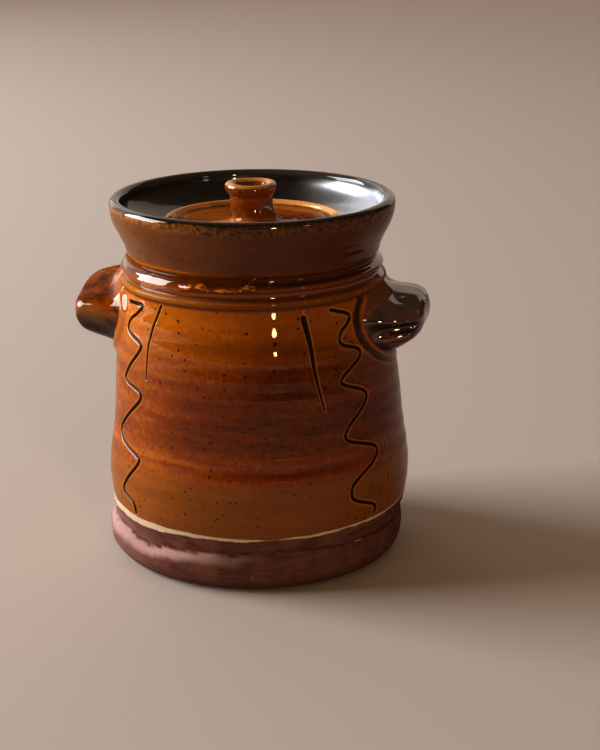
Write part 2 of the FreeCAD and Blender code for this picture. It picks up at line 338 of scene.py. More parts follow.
def facing(normals: np.ndarray, places: np.ndarray) -> np.ndarray:
    """How far each normal points away from the axis, from -1 to 1."""
    return (normals[:, :2] * places[:, :2]).sum(axis=1) / np.maximum(np.hypot(*places[:, :2].T), 1e-6)


@dataclass
class Outline:
    """Half of a turned shape, as radius and height points in millimetres."""

    points: list[Point]

    def run_to(self, *poles: Point, spacing: float) -> None:
        """A straight run to one pole, or a clamped cubic spline drawn by several, cut into even steps.

        Args:
            poles: The poles after the point where the outline stands.
            spacing: The length of a step.
        """
        fine = np.array([self.points[-1], *poles])
        if len(poles) > 1:
            fine = spline(fine, 60 * len(poles))
        gone = np.concatenate([[0.0], np.cumsum(np.linalg.norm(np.diff(fine, axis=0), axis=1))])
        count = max(2, round(gone[-1] / spacing))
        for mark in np.linspace(0.0, gone[-1], count + 1)[1:]:
            self.points.append(tuple(float(np.interp(mark, gone, column)) for column in fine.T))

    def corner_to(self, corner: Point, end: Point, pull: float, spacing: float) -> None:
        """A rounded corner.

        Args:
            corner: Where the sharp corner would be.
            end: Where the round ends.
            pull: How far from each end its curve is drawn towards the corner.
            spacing: The length of a step.
        """
        poles = []
        for stop in (self.points[-1], end):
            away = (corner[0] - stop[0], corner[1] - stop[1])
            share = pull / math.hypot(*away)
            poles.append((stop[0] + away[0] * share, stop[1] + away[1] * share))
        self.run_to(*poles, end, spacing=spacing)


def spline(controls: np.ndarray, count: int) -> np.ndarray:
    """Points on a clamped uniform cubic spline.

    Args:
        controls: Its control points, at least four, one to a row.
        count: How many points to give.

    Returns:
        The points, one to a row.
    """
    spans = len(controls) - 3
    knots = [0.0] * 4 + [float(k) for k in range(1, spans)] + [float(spans)] * 4
    made = []
    for at in np.linspace(0.0, spans, count):
        span = min(int(at), spans - 1) + 3
        near = [controls[span - 3 + k] for k in range(4)]
        for level in range(1, 4):
            for k in range(3, level - 1, -1):
                low = knots[span - 3 + k]
                high = knots[span + 1 + k - level]
                share = (at - low) / (high - low)
                near[k] = (1.0 - share) * near[k - 1] + share * near[k]
        made.append(near[3])
    return np.array(made)


def alone(piece: bpy.types.Object | None = None) -> None:
    """Leave only one object selected and active, or none.

    Args:
        piece: The object, if there is to be one.
    """
    bpy.ops.object.select_all(action="DESELECT")
    if piece is not None:
        piece.select_set(True)
        bpy.context.view_layer.objects.active = piece


@contextmanager
def opened(piece: bpy.types.Object, picks: Picks) -> Iterator[None]:
    """Open one piece in edit mode, and close it again afterwards.

    Args:
        piece: The piece.
        picks: What a selection is made of.

    Yields:
        Nothing, once, while the piece is open.
    """
    alone(piece)
    bpy.context.tool_settings.mesh_select_mode = picks.value
    bpy.ops.object.mode_set(mode="EDIT")
    yield
    bpy.ops.object.mode_set(mode="OBJECT")


def face_outwards() -> None:
    """Turn every face of the open piece outwards."""
    bpy.ops.mesh.select_all(action="SELECT")
    bpy.ops.mesh.normals_make_consistent(inside=False)


def named(name: str) -> bpy.types.Object:
    """Name the new object, and put its place into its mesh.

    Args:
        name: The piece's name.

    Returns:
        The piece.
    """
    bpy.ops.object.transform_apply(location=True, rotation=True, scale=True)
    bpy.context.object.name = bpy.context.object.data.name = name
    return bpy.context.object


def pick_faces(piece: bpy.types.Object, chosen: np.ndarray) -> None:
    """Select some faces of a mesh and nothing else.

    Args:
        piece: The piece, in object mode.
        chosen: True for each face to select.
    """
    mesh = piece.data
    mesh.vertices.foreach_set("select", np.zeros(len(mesh.vertices), bool))
    mesh.edges.foreach_set("select", np.zeros(len(mesh.edges), bool))
    mesh.polygons.foreach_set("select", chosen)


def turn(name: str, outline: Outline, steps: int) -> bpy.types.Object:
    """Draw an outline point by point and spin it into a closed shape.

    Args:
        name: The piece's name.
        outline: The half section, from axis to axis.
        steps: How many segments go round.

    Returns:
        The closed piece, its faces outwards.
    """
    alone()
    radius, height = outline.points[0]
    bpy.ops.mesh.primitive_plane_add(size=MM, location=(radius * MM, 0.0, height * MM))
    piece = named(name)
    with opened(piece, Picks.POINTS):
        bpy.ops.mesh.select_all(action="SELECT")
        bpy.ops.mesh.merge(type="CENTER")
        for (r0, z0), (r1, z1) in zip(outline.points, outline.points[1:]):
            step = ((r1 - r0) * MM, 0.0, (z1 - z0) * MM)
            bpy.ops.mesh.extrude_region_move(TRANSFORM_OT_translate={"value": step})
        bpy.ops.mesh.select_all(action="SELECT")
        bpy.ops.mesh.spin(steps=steps, angle=math.tau, center=(0.0, 0.0, 0.0), axis=(0.0, 0.0, 1.0))
        bpy.ops.mesh.select_all(action="SELECT")
        bpy.ops.mesh.remove_doubles(threshold=0.004 * MM)
        face_outwards()
    return piece


class Clay:
    """The points of a mesh as soft clay: read, pushed about and written back, all in millimetres."""

    def __init__(self, piece: bpy.types.Object) -> None:
        """Read the piece's points.

        Args:
            piece: The piece, in object mode.
        """
        self.piece = piece
        self.at = rows(piece.data.vertices, "co") / MM
        self.normal = rows(piece.data.vertices, "normal")

    @property
    def height(self) -> np.ndarray:
        """The height of each point, as it is now."""
        return self.at[:, 2].copy()

    @property
    def radius(self) -> np.ndarray:
        """The distance of each point from the axis."""
        return np.hypot(self.at[:, 0], self.at[:, 1])

    @property
    def angle(self) -> np.ndarray:
        """The bearing of each point in degrees."""
        return bearing(self.at)

    def swell(self, amount: np.ndarray) -> None:
        """Push each point away from the axis by its own amount."""
        radius = np.maximum(self.radius, 1e-6)
        self.at[:, :2] *= ((radius + amount) / radius)[:, None]

    def puff(self, amount: np.ndarray) -> None:
        """Push each point out along its normal by its own amount."""
        self.at += self.normal * amount[:, None]

    def store(self, **values: np.ndarray) -> None:
        """Keep named numbers on each point for the material to read."""
        for name, numbers in values.items():
            layer = self.piece.data.attributes.new(name, "FLOAT", "POINT")
            layer.data.foreach_set("value", numbers.astype(np.float32))

    def settle(self) -> None:
        """Write the points back and smooth the shading."""
        mesh = self.piece.data
        mesh.vertices.foreach_set("co", (self.at * MM).ravel())
        mesh.polygons.foreach_set("use_smooth", np.ones(len(mesh.polygons), bool))
        mesh.update()


# ---------------------------------------------------------------- scratched lines


@dataclass(frozen=True)
class Scratch:
    """One line scratched through the glaze, as (bearing in degrees, height) turning points."""

    turns: tuple[Point, ...]
    start_width: float = 1.3
    end_width: float = 1.3
    depth: float = 0.42
    rounding: int = 8

    def moved(self, bearing_by: float, lift: float) -> "Scratch":
        """The same line elsewhere on the pot, so many degrees round and so far up."""
        return replace(self, turns=tuple((b + bearing_by, h + lift) for b, h in self.turns))

    def track(self) -> np.ndarray:
        """The line with its turns rounded.

        Returns:
            Rows of bearing, height and half width.
        """
        ends = [self.turns[0], *self.turns, self.turns[-1]]
        made = []
        spans = len(self.turns) - 1
        for k in range(spans):
            p0, p1, p2, p3 = (np.array(p) for p in ends[k:k + 4])
            for t in np.linspace(0.0, 1.0, self.rounding, endpoint=k == spans - 1):
                m1, m2 = (p2 - p0) * 0.5, (p3 - p1) * 0.5
                h = 2 * t**3 - 3 * t**2
                at = (h + 1) * p1 + (t**3 - 2 * t**2 + t) * m1 - h * p2 + (t**3 - t**2) * m2
                share = (k + t) / spans
                made.append((*at, 0.5 * (self.start_width * (1 - share) + self.end_width * share)))
        return np.array(made)


@dataclass(frozen=True)
class Decoration:
    """The potter's waves and strokes, and how far each point of the pot lies from them.

    A point is measured against a line only within a window of degrees round its middle, and a margin above
    and below it.
    """

    radius: float = 49.0
    window: float = 25.0
    margin: float = 4.0
    left_wave: Scratch = Scratch((
        (-55, 93.5), (-43, 94), (-46, 91), (-52, 87.5), (-52.5, 84), (-42.5, 81.5), (-42, 79), (-51, 71),
        (-52.5, 67), (-42, 65), (-41, 62), (-49, 56), (-56.5, 49.5), (-53, 45.5), (-41.5, 42.5),
        (-40.5, 40), (-47.5, 33), (-50, 28.5), (-43.5, 25.5), (-42.5, 22)))
    left_stroke: Scratch = Scratch(((-30.5, 95.5), (-34.5, 87), (-36.5, 80), (-37, 70)), 1.1, 0.6, 0.4)
    right_stroke: Scratch = Scratch(((32.5, 93), (34.5, 84), (35.5, 74), (38, 62)), 2.2, 0.5, 0.6)
    thin_line: Scratch = Scratch(((68, 46), (67.8, 38), (67, 30)), 0.7, 0.5, 0.25)
    right_wave: Scratch = Scratch((
        (45.5, 94.5), (54.5, 92), (54, 89.5), (49.3, 86.5), (49, 82.8), (57.5, 80), (58, 77.3),
        (52.5, 74.5), (47.8, 72), (47.5, 69.5), (57, 66.2), (59, 63.5), (55, 59.5), (49, 55.5),
        (46.5, 52), (49, 49.7), (60, 46.5), (62.5, 43.6), (59.5, 41), (52.5, 37.5), (48.3, 35),
        (47.3, 32), (49.2, 29.4), (58.5, 25.8), (60, 23)), 1.2, 1.2)
    tail: Scratch = Scratch(((60, 22.5), (59, 19.5), (56.5, 16.5)), 0.6, 0.4, 0.2)

    def lines(self) -> list[Scratch]:
        """Every line, with the same waves and strokes again on the back.

        Returns:
            The lines, front ones first.
        """
        front = [
            self.left_wave, self.left_stroke, self.right_stroke, self.thin_line, self.right_wave, self.tail]
        back = [
            self.left_wave.moved(182, 0.6), self.left_stroke.moved(181, -1.0),
            self.right_stroke.moved(178, -1.5), self.right_wave.moved(177, 0.3)]
        return front + back

    def nearest(self, angle: np.ndarray, height: np.ndarray) -> tuple[np.ndarray, np.ndarray]:
        """How far each point lies from the edge of the nearest line.

        Args:
            angle: The points' bearings in degrees.
            height: Their heights in millimetres.

        Returns:
            The distance outside the line's edge (less than nought inside it), and the line's depth there.
        """
        best = np.full(len(angle), AWAY)
        depth = np.zeros(len(angle))
        scale = math.radians(1.0) * self.radius
        for line in self.lines():
            track = line.track()
            middle = track[:, 0].mean()
            across = (angle - middle + 180.0) % 360.0 - 180.0
            low, high = track[:, 1].min() - self.margin, track[:, 1].max() + self.margin
            index = np.nonzero((np.abs(across) < self.window) & (height > low) & (height < high))[0]
            spot = np.stack([across[index] * scale, height[index]], axis=1)
            path = np.stack([(track[:, 0] - middle) * scale, track[:, 1]], axis=1)
            reach = np.full(len(index), AWAY)
            for a, b, half_width in zip(path, path[1:], track[:, 2]):
                run = b - a
                share = np.clip((spot - a) @ run / max(run @ run, 1e-9), 0.0, 1.0)
                gap = np.linalg.norm(spot - a - share[:, None] * run, axis=1) - half_width
                reach = np.minimum(reach, gap)
            closer = reach < best[index]
            best[index[closer]] = reach[closer]
            depth[index[closer]] = line.depth
        return best, depth


# ---------------------------------------------------------------- the pot


LUG_LEVEL = 87.0  # the height of the lugs' middle
LEDGE_HEIGHT = 112.4  # the height of the ledge that the lid sits on


@dataclass
class Pot:
    """The thrown pot: clay foot, belly, bead, crest, channel, flared collar and the hollow inside.

    lug_seat is half the width and height of the patch that a lug covers. torn_edge is the height of the
    foot's torn lip by bearing, peaks are the crest's rises as height, bearing and width, and facet is the
    radius of its broad face by height.
    """

    steps: int = 320
    decoration: Decoration = Decoration()
    foot_radius: float = 51.4
    foot_round: float = 6.0
    rim_radius: float = 49.0
    rim_height: float = 126.0
    lip: float = 4.0
    ledge_radius: float = 32.2
    ledge_thickness: float = 4.6
    throat_radius: float = 27.2
    floor: float = 6.5
    floor_radius: float = 46.4
    floor_round: float = 11.0
    glaze_line: float = 20.2
    ring_pitch: float = 6.6
    ring_depth: float = 0.065
    belly_lean: float = 1.076
    half_depth: float = 52.88
    lug_seat: Point = (24.2, 16.2)
    crest_foot: float = 99.6
    crest_top: float = 107.6
    torn_edge: tuple[Point, ...] = (
        (-180, 13.0), (-120, 12.5), (-75, 13.5), (-55, 13.7), (-47, 13.0), (-40, 12.2), (-34, 12.0),
        (-26, 13.4), (-10, 13.9), (2, 13.3), (9, 14.2), (27, 14.8), (40, 14.0), (55, 13.6), (90, 13.0),
        (140, 13.4), (180, 13.0))
    peaks: tuple[tuple[float, float, float], ...] = (
        (1.9, -12, 4.0), (1.6, 9, 3.5), (0.5, -1, 5), (0.5, -33, 6))
    facet: tuple[Point, ...] = (
        (99.6, 44.0), (101.2, 44.4), (102.5, 45.8), (105.0, 44.5), (105.9, 43.1), (106.7, 42.9),
        (107.4, 43.4))

    def outline(self) -> Outline:
        """The pot's half section, from under the foot, up the outside and down the inside.

        Returns:
            The outline, from axis to axis.
        """
        foot, rim, top, half_lip = self.foot_radius, self.rim_radius, self.rim_height, self.lip / 2
        inner, ledge, under_ledge = rim - self.lip, self.ledge_radius, LEDGE_HEIGHT - self.ledge_thickness
        o = Outline([(0.0, 0.0)])
        o.run_to((foot - self.foot_round, 0.0), spacing=16.0)
        o.corner_to((foot, 0.0), (foot, self.foot_round), pull=4.0, spacing=0.8)
        # The belly, the bead above it, the crease, the crest in two turns, the channel and its far edge.
        o.run_to((50.8, 16), (54.8, 30), (50.0, 46), (49.8, 70), (45.0, 96.4), spacing=0.92)
        o.run_to((45.9, 96.7), (46.4, 98.2), (45.6, 99.0), spacing=0.5)
        o.run_to((45.1, 99.5), (44.2, 99.3), (43.95, 100.0), spacing=0.4)
        o.run_to((43.8, 101.0), (43.9, 101.7), (44.2, 102.1), spacing=0.45)
        o.run_to((44.8, 102.6), (44.9, 103.3), (44.3, 103.8), spacing=0.4)
        o.run_to((43.3, 104.2), (42.5, 104.4), (42.5, 105.2), spacing=0.5)
        o.run_to((42.6, 106.4), (42.9, 107.3), (43.6, self.crest_top), spacing=0.5)
        # The collar, its round lip, the bowl inside it, the ledge, the inner wall and the floor.
        o.run_to((44.0, 110.5), (47.2, 115.9), (rim, 120.4), (rim, top - half_lip), spacing=0.95)
        o.corner_to((rim, top), (rim - half_lip, top), pull=1.1, spacing=0.55)
        o.corner_to((inner, top), (inner, top - half_lip), pull=1.1, spacing=0.55)
        o.run_to((inner, 121.1), (40.0, 116.3), (ledge, 115.3), (ledge, LEDGE_HEIGHT), spacing=1.1)
        o.run_to((self.throat_radius, LEDGE_HEIGHT), spacing=1.7)
        o.run_to((self.throat_radius, under_ledge), spacing=1.6)
        wall = (self.floor_radius, self.floor + self.floor_round)
        o.run_to((ledge, under_ledge), (40.0, 96.4), (44.8, 70), (45, 46), (49.8, 30), wall, spacing=6.0)
        middle = (self.floor_radius - self.floor_round, self.floor)
        o.corner_to((self.floor_radius, self.floor), middle, pull=7.3, spacing=3.0)
        o.run_to((0.0, self.floor), spacing=12.0)
        return o

    def build(self) -> bpy.types.Object:
        """Throw the pot, cut its lines and work its surface.

        Returns:
            The finished mesh.
        """
        piece = turn("pot", self.outline(), self.steps)
        self.refine(piece)
        clay = Clay(piece)
        self.work(clay)
        clay.settle()
        return piece

    def refine(self, piece: bpy.types.Object) -> None:
        """Divide the faces that the scratched lines cross.

        Args:
            piece: The thrown pot.
        """
        centre, normal = rows(piece.data.polygons, "center") / MM, rows(piece.data.polygons, "normal")
        height = centre[:, 2]
        gap, _ = self.decoration.nearest(bearing(centre), height)
        pick_faces(piece, (facing(normal, centre) > 0.2) & (gap < 1.0) & (height < 97))
        with opened(piece, Picks.FACES):
            bpy.ops.mesh.subdivide(number_cuts=2, quadcorner="INNERVERT")

    def work(self, clay: Clay) -> None:
        """Push the surface about as the potter's hands and tools did, and store what the glaze needs.

        Args:
            clay: The pot's points.
        """
        height, angle = clay.height, clay.angle
        turned = np.radians(angle)
        outer = (facing(clay.normal, clay.at) > 0.05) & (height < 125.5) & (clay.radius > 40)
        rings = self.rings(height, turned) * outer
        gap, depth = self.decoration.nearest(angle, height)
        gap = np.where(outer & (height < 98), gap, AWAY)
        # A scratch sinks within its edges and leaves a slight burr outside them.
        cut = -depth * (1.0 - rise(gap, -0.65, 0.15)) + 0.1 * hump(gap, 0.45, 0.3) * (depth > 0.3)
        torn, crack, layer = self.torn(clay)
        crest, thin = self.crest(clay)
        root, seam = self.lug_root(clay)
        clay.swell(rings + (cut + torn + crest + root) * outer)
        clay.at[:, 0] += self.belly_lean * band(height, 4, 26, 50, 92)
        clay.at[:, 1] = np.clip(clay.at[:, 1], -self.half_depth, self.half_depth)
        # The glaze stops at a wavering line, and pale slip shows between it and the bare clay.
        line = self.glaze_line + 1.5 * (1 - np.cos(turned - 0.2)) + 0.35 * lumps(clay.at, 9.0)
        slip = 1.1 + 1.5 * rise(-angle, 5, 45) - 0.25 * rise(angle, 0, 50)
        # One small fleck of slip lies on the clay at the right.
        chip = np.hypot((angle - 53.6) / 1.9, (height - 13.5 - 0.12 * (angle - 53.6)) / 0.6) < 1.0
        slipped = np.where(chip, 1.0, height - line + slip + 0.25 * lumps(clay.at, 3.0, 4.0))
        clay.store(
            glazed=np.where(outer, height - line + hump(angle, 16.5, 6.0), COVERED),
            slip=np.where(outer, slipped, COVERED), scratch=gap,
            ring=np.clip(rings / self.ring_depth, -1.5, 2.5),
            seam=np.where(outer & (height < 97), seam, AWAY),
            thin=thin * outer, torn=crack * outer, layer=layer * outer, inside=np.where(outer, 0.0, 1.0))

    def rings(self, height: np.ndarray, turned: np.ndarray) -> np.ndarray:
        """The throwing rings, which climb a little as they go round.

        Args:
            height: The points' heights.
            turned: Their bearings in radians.

        Returns:
            How far each point stands out.
        """
        slow = np.sin(math.tau * height / self.ring_pitch + turned + 0.8 * np.sin(height / 9.0))
        quick = np.sin(math.tau * height / 2.9 + 2 * turned + 1.3 * np.sin(height / 5.0))
        ledges = band(height, 43.2, 44.6, 44.6, 50) + band(height, 37.6, 38.8, 38.8, 43)
        ledges = ledges * (0.6 + 0.4 * np.cos(turned - 0.4))
        belly = band(height, 22, 27, 90, 96) * (0.7 * slow + 0.15 * quick + 3.2 * ledges)
        collar = band(height, 108, 111, 119, 123) * np.sin(math.tau * height / 4.3 + turned)
        return self.ring_depth * (belly + 0.5 * collar)

    def torn(self, clay: Clay) -> tuple[np.ndarray, np.ndarray, np.ndarray]:
        """The ragged lip left where the foot was trimmed.

        Args:
            clay: The pot's points.

        Returns:
            How far each point stands out, how near it is to the crack along the lip, and how far it lies on
            the lip's pale shoulder at the left, whose paleness is partly dust and partly painted sheen.
        """
        height, angle, places = clay.height, clay.angle, clay.at
        edge = np.interp(angle, *np.transpose(self.torn_edge))
        edge = edge + 0.5 * lumps(places, 5.0, 7.0) + 0.35 * lumps(places, 1.8, 2.0)
        strength = 0.45 + 0.55 * within(angle, -48, 34, 62)
        strength = strength * (1 + 0.25 * lumps(places * (1, 1, 0.3), 9.0, 3.0))
        below = edge - height
        layer = rise(below, -0.4, 3.4) * rise(height, 0.0, 9.0)
        dust_and_sheen_shoulder = band(below, 0.0, 0.5, 1.8, 4.6) * rise(-angle, -16, 22) * rise(angle, -100, -70)
        crack = hump(below, -0.1, 0.4)
        rough = 0.08 * lumps(places, 1.4, 9.0) * hump(below, 1.5, 2.5)
        zone = 1 - rise(height, 16.0, 18.5)
        out = 1.9 * layer * strength - 0.35 * crack + rough - 0.55
        return out * zone, crack * zone, dust_and_sheen_shoulder * zone

    def crest(self, clay: Clay) -> tuple[np.ndarray, np.ndarray]:
        """The uneven pinched line round the neck, with two peaks near the front and a broad left face.

        Args:
            clay: The pot's points.

        Returns:
            How far each point stands out, and where the glaze breaks thin, with a painted highlight along
            the channel's top edge at the left.
        """
        height, angle, places = clay.height, clay.angle, clay.at
        peaks = sum(high * hump(angle, at, width) for high, at, width in self.peaks)
        middle = 102.7 + peaks + 0.35 * lumps(places * (1, 1, 0.2), 5.0, 1.0)
        # The pinched line is lively near the front, and broken round its peaks.
        lively = 0.2 + 0.8 * within(angle, -24, 32, 50)
        broken = 0.4 * within(angle, -1, 12, 22) * lumps(places, 2.2, 5.0)
        width = np.where(height > middle, 1.15, 0.8)
        out = (1.2 + broken) * lively * np.exp(-np.abs((height - middle) / width) ** 2.4)
        # At the left a broad face takes the line's place, and two lumps of glaze sit at the front.
        face = np.interp(height, *np.transpose(self.facet))
        face = face + 0.22 * lumps(places, 6.0, 2.0) * hump(height, 103.2, 2.2)
        inside = (height > self.crest_foot) & (height < self.crest_top)
        out = out + band(-angle, 12, 22, 80, 110) * np.where(inside, face - clay.radius - out, -out)
        out = out + 2.2 * hump(angle, -11.5, 4.6) * hump(height, 104.0, 1.5)
        out = out + 1.8 * hump(angle, 7.8, 3.5) * hump(height, 103.9, 1.3)
        out = out - 0.25 * hump(height, 105.9, 0.8)
        edge = np.where(angle < -18, 102.2, middle) + 0.6 * lumps(places, 1.6, 3.0)
        thin = within(angle, -18, 26, 36) * hump(height, edge, 0.7) * (0.7 + 0.6 * lumps(places, 1.1, 8.0))
        # The bright line at the channel's top edge is partly thin glaze and partly a painted highlight,
        # laid on the left only, where the window lights it.
        channel_thin_glaze_and_highlight = 0.7 * hump(height, 107.8, 0.5) * rise(-angle, -40, 20)
        for thin_bright_edge in (channel_thin_glaze_and_highlight, 0.5 * hump(height, 98.6, 0.5), 0.35 * hump(height, 96.9, 0.4)):
            thin = np.maximum(thin, thin_bright_edge)
        return out, thin

    def lug_root(self, clay: Clay) -> tuple[np.ndarray, np.ndarray]:
        """The clay drawn up round each lug's root, with a crease along the right one.

        Args:
            clay: The pot's points.

        Returns:
            How far each point stands out, and how far it lies from the seam.
        """
        across, up = self.lug_seat
        past = np.hypot(clay.at[:, 1] / across, (clay.height - LUG_LEVEL) / up) * 19.0 - 19.0
        seam = np.abs(past)
        right = 0.5 * (1 - rise(past, -1.0, 2.6)) + 0.2 * hump(seam, 1.7, 0.6) - 0.6 * hump(seam, 0.0, 0.9)
        left = 1.4 * (1 - rise(past, -1.5, 2.4))
        out = np.where(clay.at[:, 0] > 0, right, left) * (1 - rise(clay.height, 94.5, 96.5))
        return out, seam


# ---------------------------------------------------------------- the lugs


@dataclass(frozen=True)
class Ring:
    """One ring of a lug: its reach, its half width, and its height above and below the level."""

    reach: float
    half: float
    above: float
    below: float


@dataclass
class Lug:
    """One ear of clay, pressed on to the shoulder and thumbed up and down at its root.

    The section goes from the back over the top to the front and under: a turn in degrees, then the place
    across as a share of the half width, and up as a share of the height above or below the level. The root
    is wrapped round a wall of the given radius.
    """

    side: Side
    rings: tuple[Ring, ...]
    section: tuple[tuple[float, float, float], ...]
    crease: float = 0.0
    level: float = LUG_LEVEL
    wall_radius: float = 47.2
    farthest: float = 61.45
    around: int = 72

    def centre(self, ring: Ring) -> tuple[float, float, float]:
        """The middle of a ring, in metres."""
        return self.side.value * ring.reach * MM, 0.0, self.level * MM

    def build(self) -> bpy.types.Object:
        """Pull the lug out ring by ring, then work it with the thumb.

        Returns:
            The finished mesh.
        """
        alone()
        first = self.rings[0]
        bpy.ops.mesh.primitive_circle_add(
            vertices=self.around, radius=first.half * MM, fill_type="NOTHING",
            location=self.centre(first), rotation=(0.0, math.pi / 2, 0.0))
        piece = named(f"lug_{self.side.name.lower()}")
        with opened(piece, Picks.EDGES):
            bpy.ops.mesh.select_all(action="SELECT")
            for here, there in zip(self.rings, self.rings[1:]):
                out = self.side.value * (there.reach - here.reach) * MM
                bpy.ops.mesh.extrude_region_move(TRANSFORM_OT_translate={"value": (out, 0.0, 0.0)})
                grow = there.half / here.half
                bpy.ops.transform.resize(value=(1.0, grow, grow), center_override=self.centre(there))
            bpy.ops.mesh.edge_face_add()
            bpy.ops.mesh.inset(thickness=0.45 * self.rings[-1].half * MM)
            bpy.ops.mesh.poke()
            face_outwards()
        self.shape(piece)
        smooth = piece.modifiers.new("soft", "SUBSURF")
        smooth.levels = smooth.render_levels = 2
        alone(piece)
        bpy.ops.object.modifier_apply(modifier=smooth.name)
        with opened(piece, Picks.EDGES):
            bpy.ops.mesh.select_all(action="DESELECT")
            bpy.ops.mesh.select_non_manifold(extend=False)
            bpy.ops.mesh.edge_face_add()
            bpy.ops.mesh.poke()
            face_outwards()
        clay = Clay(piece)
        self.thumb(clay)
        clay.settle()
        return piece

    def shape(self, piece: bpy.types.Object) -> None:
        """Turn the round rings into the lug's own sections, and wrap its root round the wall.

        Args:
            piece: The lug as rings.
        """
        clay = Clay(piece)
        out = np.abs(clay.at[:, 0])
        reach, *sizes = np.transpose([astuple(ring) for ring in self.rings])
        half, above, below = (np.interp(out, reach, size) for size in sizes)
        marks, places, lifts = np.transpose(self.section)
        across, up = clay.at[:, 1] / half, (clay.height - self.level) / half
        size = np.hypot(across, up)
        turned = np.degrees(np.arctan2(up, across)) % 360.0
        # The root stays round, and the tip goes half way back to round.
        pressed = rise(out, 45.5, 50.0) * (1.0 - 0.5 * rise(out, 57.5, 61.0))
        across = across + pressed * (size * np.interp(turned, marks, places) - across)
        up = up + pressed * (size * np.interp(turned, marks, lifts) - up)
        clay.at[:, 1] = half * across
        clay.at[:, 2] = self.level + up * np.where(up > 0, above, below)
        wrap = np.sqrt(self.wall_radius ** 2 - np.minimum(clay.at[:, 1] ** 2, 40.0 ** 2)) - self.wall_radius
        clay.at[:, 0] += self.side.value * wrap * (1.0 - rise(out, 46.0, 55.0))
        clay.settle()

    def thumb(self, clay: Clay) -> None:
        """Press the crease under the front edge and leave the marks of fingers.

        Args:
            clay: The lug's points.
        """
        x, y, z = np.abs(clay.at[:, 0]), clay.at[:, 1].copy(), clay.height
        front = rise(-y, 6, 13) * band(x, 45.5, 49.5, 56.5, 59.5)
        lobe = hump(z, self.level - 6.6, 2.2) * front
        clay.puff(self.crease * (0.5 * lobe - hump(z, self.level - 2.6, 1.5) * front))
        fingers = 0.3 * lumps(clay.at, 8.0, 2.0 + self.side.value) + 0.05 * lumps(clay.at, 3.0, 5.0)
        clay.puff(fingers * rise(x, 46, 51))
        clay.store(
            top=clay.normal[:, 2],
            lobe=lobe if self.crease else np.zeros(len(x)),
            pressed=hump(z, self.level - 1.3, 2.5) * front,
            ridge=hump(z, self.level + 1.6, 1.3) * rise(-y, 8, 13) * rise(x, 47, 50),
            root=1.0 - rise(x + 0.012 * y * y, 47.5, 50.5))
        clay.at[:, 0] = np.clip(clay.at[:, 0], -self.farthest, self.farthest)


LEFT_RINGS = (
    Ring(43.5, 24.6, 15.4, 17.0), Ring(45.5, 23.6, 13.8, 16.6), Ring(47.5, 22.4, 12.0, 16.2),
    Ring(49.2, 21.0, 11.0, 13.9), Ring(51.2, 20.0, 10.4, 13.2), Ring(54.0, 19.0, 9.9, 12.6),
    Ring(57.0, 18.0, 9.0, 11.5), Ring(59.2, 16.6, 7.9, 10.8), Ring(60.4, 14.8, 6.7, 9.4),
    Ring(61.1, 12.2, 5.0, 7.4), Ring(61.4, 8.4, 3.0, 4.6))
RIGHT_RINGS = (
    Ring(43.5, 25.0, 14.5, 16.5), Ring(45.5, 23.6, 12.2, 15.6), Ring(47.0, 22.0, 9.6, 14.4),
    Ring(48.6, 20.4, 7.9, 13.2), Ring(51.0, 19.2, 7.2, 12.2), Ring(54.0, 18.0, 7.1, 10.4),
    Ring(56.6, 16.6, 6.8, 8.6), Ring(58.6, 14.8, 5.8, 6.8), Ring(59.8, 12.2, 4.2, 4.8),
    Ring(60.5, 9.0, 2.6, 3.0), Ring(60.8, 5.6, 1.2, 1.4))
LEFT_SECTION = (
    (0, 1.0, 0.0), (20, 0.96, 0.36), (40, 0.84, 0.7), (60, 0.6, 0.93), (80, 0.28, 1.0), (100, -0.05, 0.93),
    (120, -0.36, 0.74), (135, -0.6, 0.56), (148, -0.78, 0.46), (158, -0.88, 0.40), (168, -0.96, 0.28),
    (177, -1.0, 0.12), (186, -1.0, -0.04), (196, -0.96, -0.18), (207, -0.86, -0.32), (220, -0.75, -0.5),
    (238, -0.6, -0.74), (255, -0.38, -0.92), (275, -0.05, -1.0), (300, 0.4, -0.94), (325, 0.78, -0.68),
    (345, 0.95, -0.3), (360, 1.0, 0.0))
RIGHT_SECTION = (
    (0, 1.0, 0.0), (20, 0.97, 0.38), (40, 0.87, 0.74), (60, 0.64, 0.95), (80, 0.3, 1.0), (100, -0.02, 0.9),
    (120, -0.35, 0.7), (135, -0.6, 0.52), (150, -0.82, 0.37), (162, -0.94, 0.25), (172, -1.0, 0.1),
    (180, -0.98, -0.04), (187, -0.9, -0.15), (194, -0.82, -0.24), (202, -0.82, -0.34), (212, -0.87, -0.48),
    (224, -0.84, -0.64), (240, -0.66, -0.84), (258, -0.36, -0.97), (280, 0.05, -1.0), (305, 0.5, -0.92),
    (330, 0.84, -0.6), (347, 0.96, -0.28), (360, 1.0, 0.0))


# ---------------------------------------------------------------- the lid


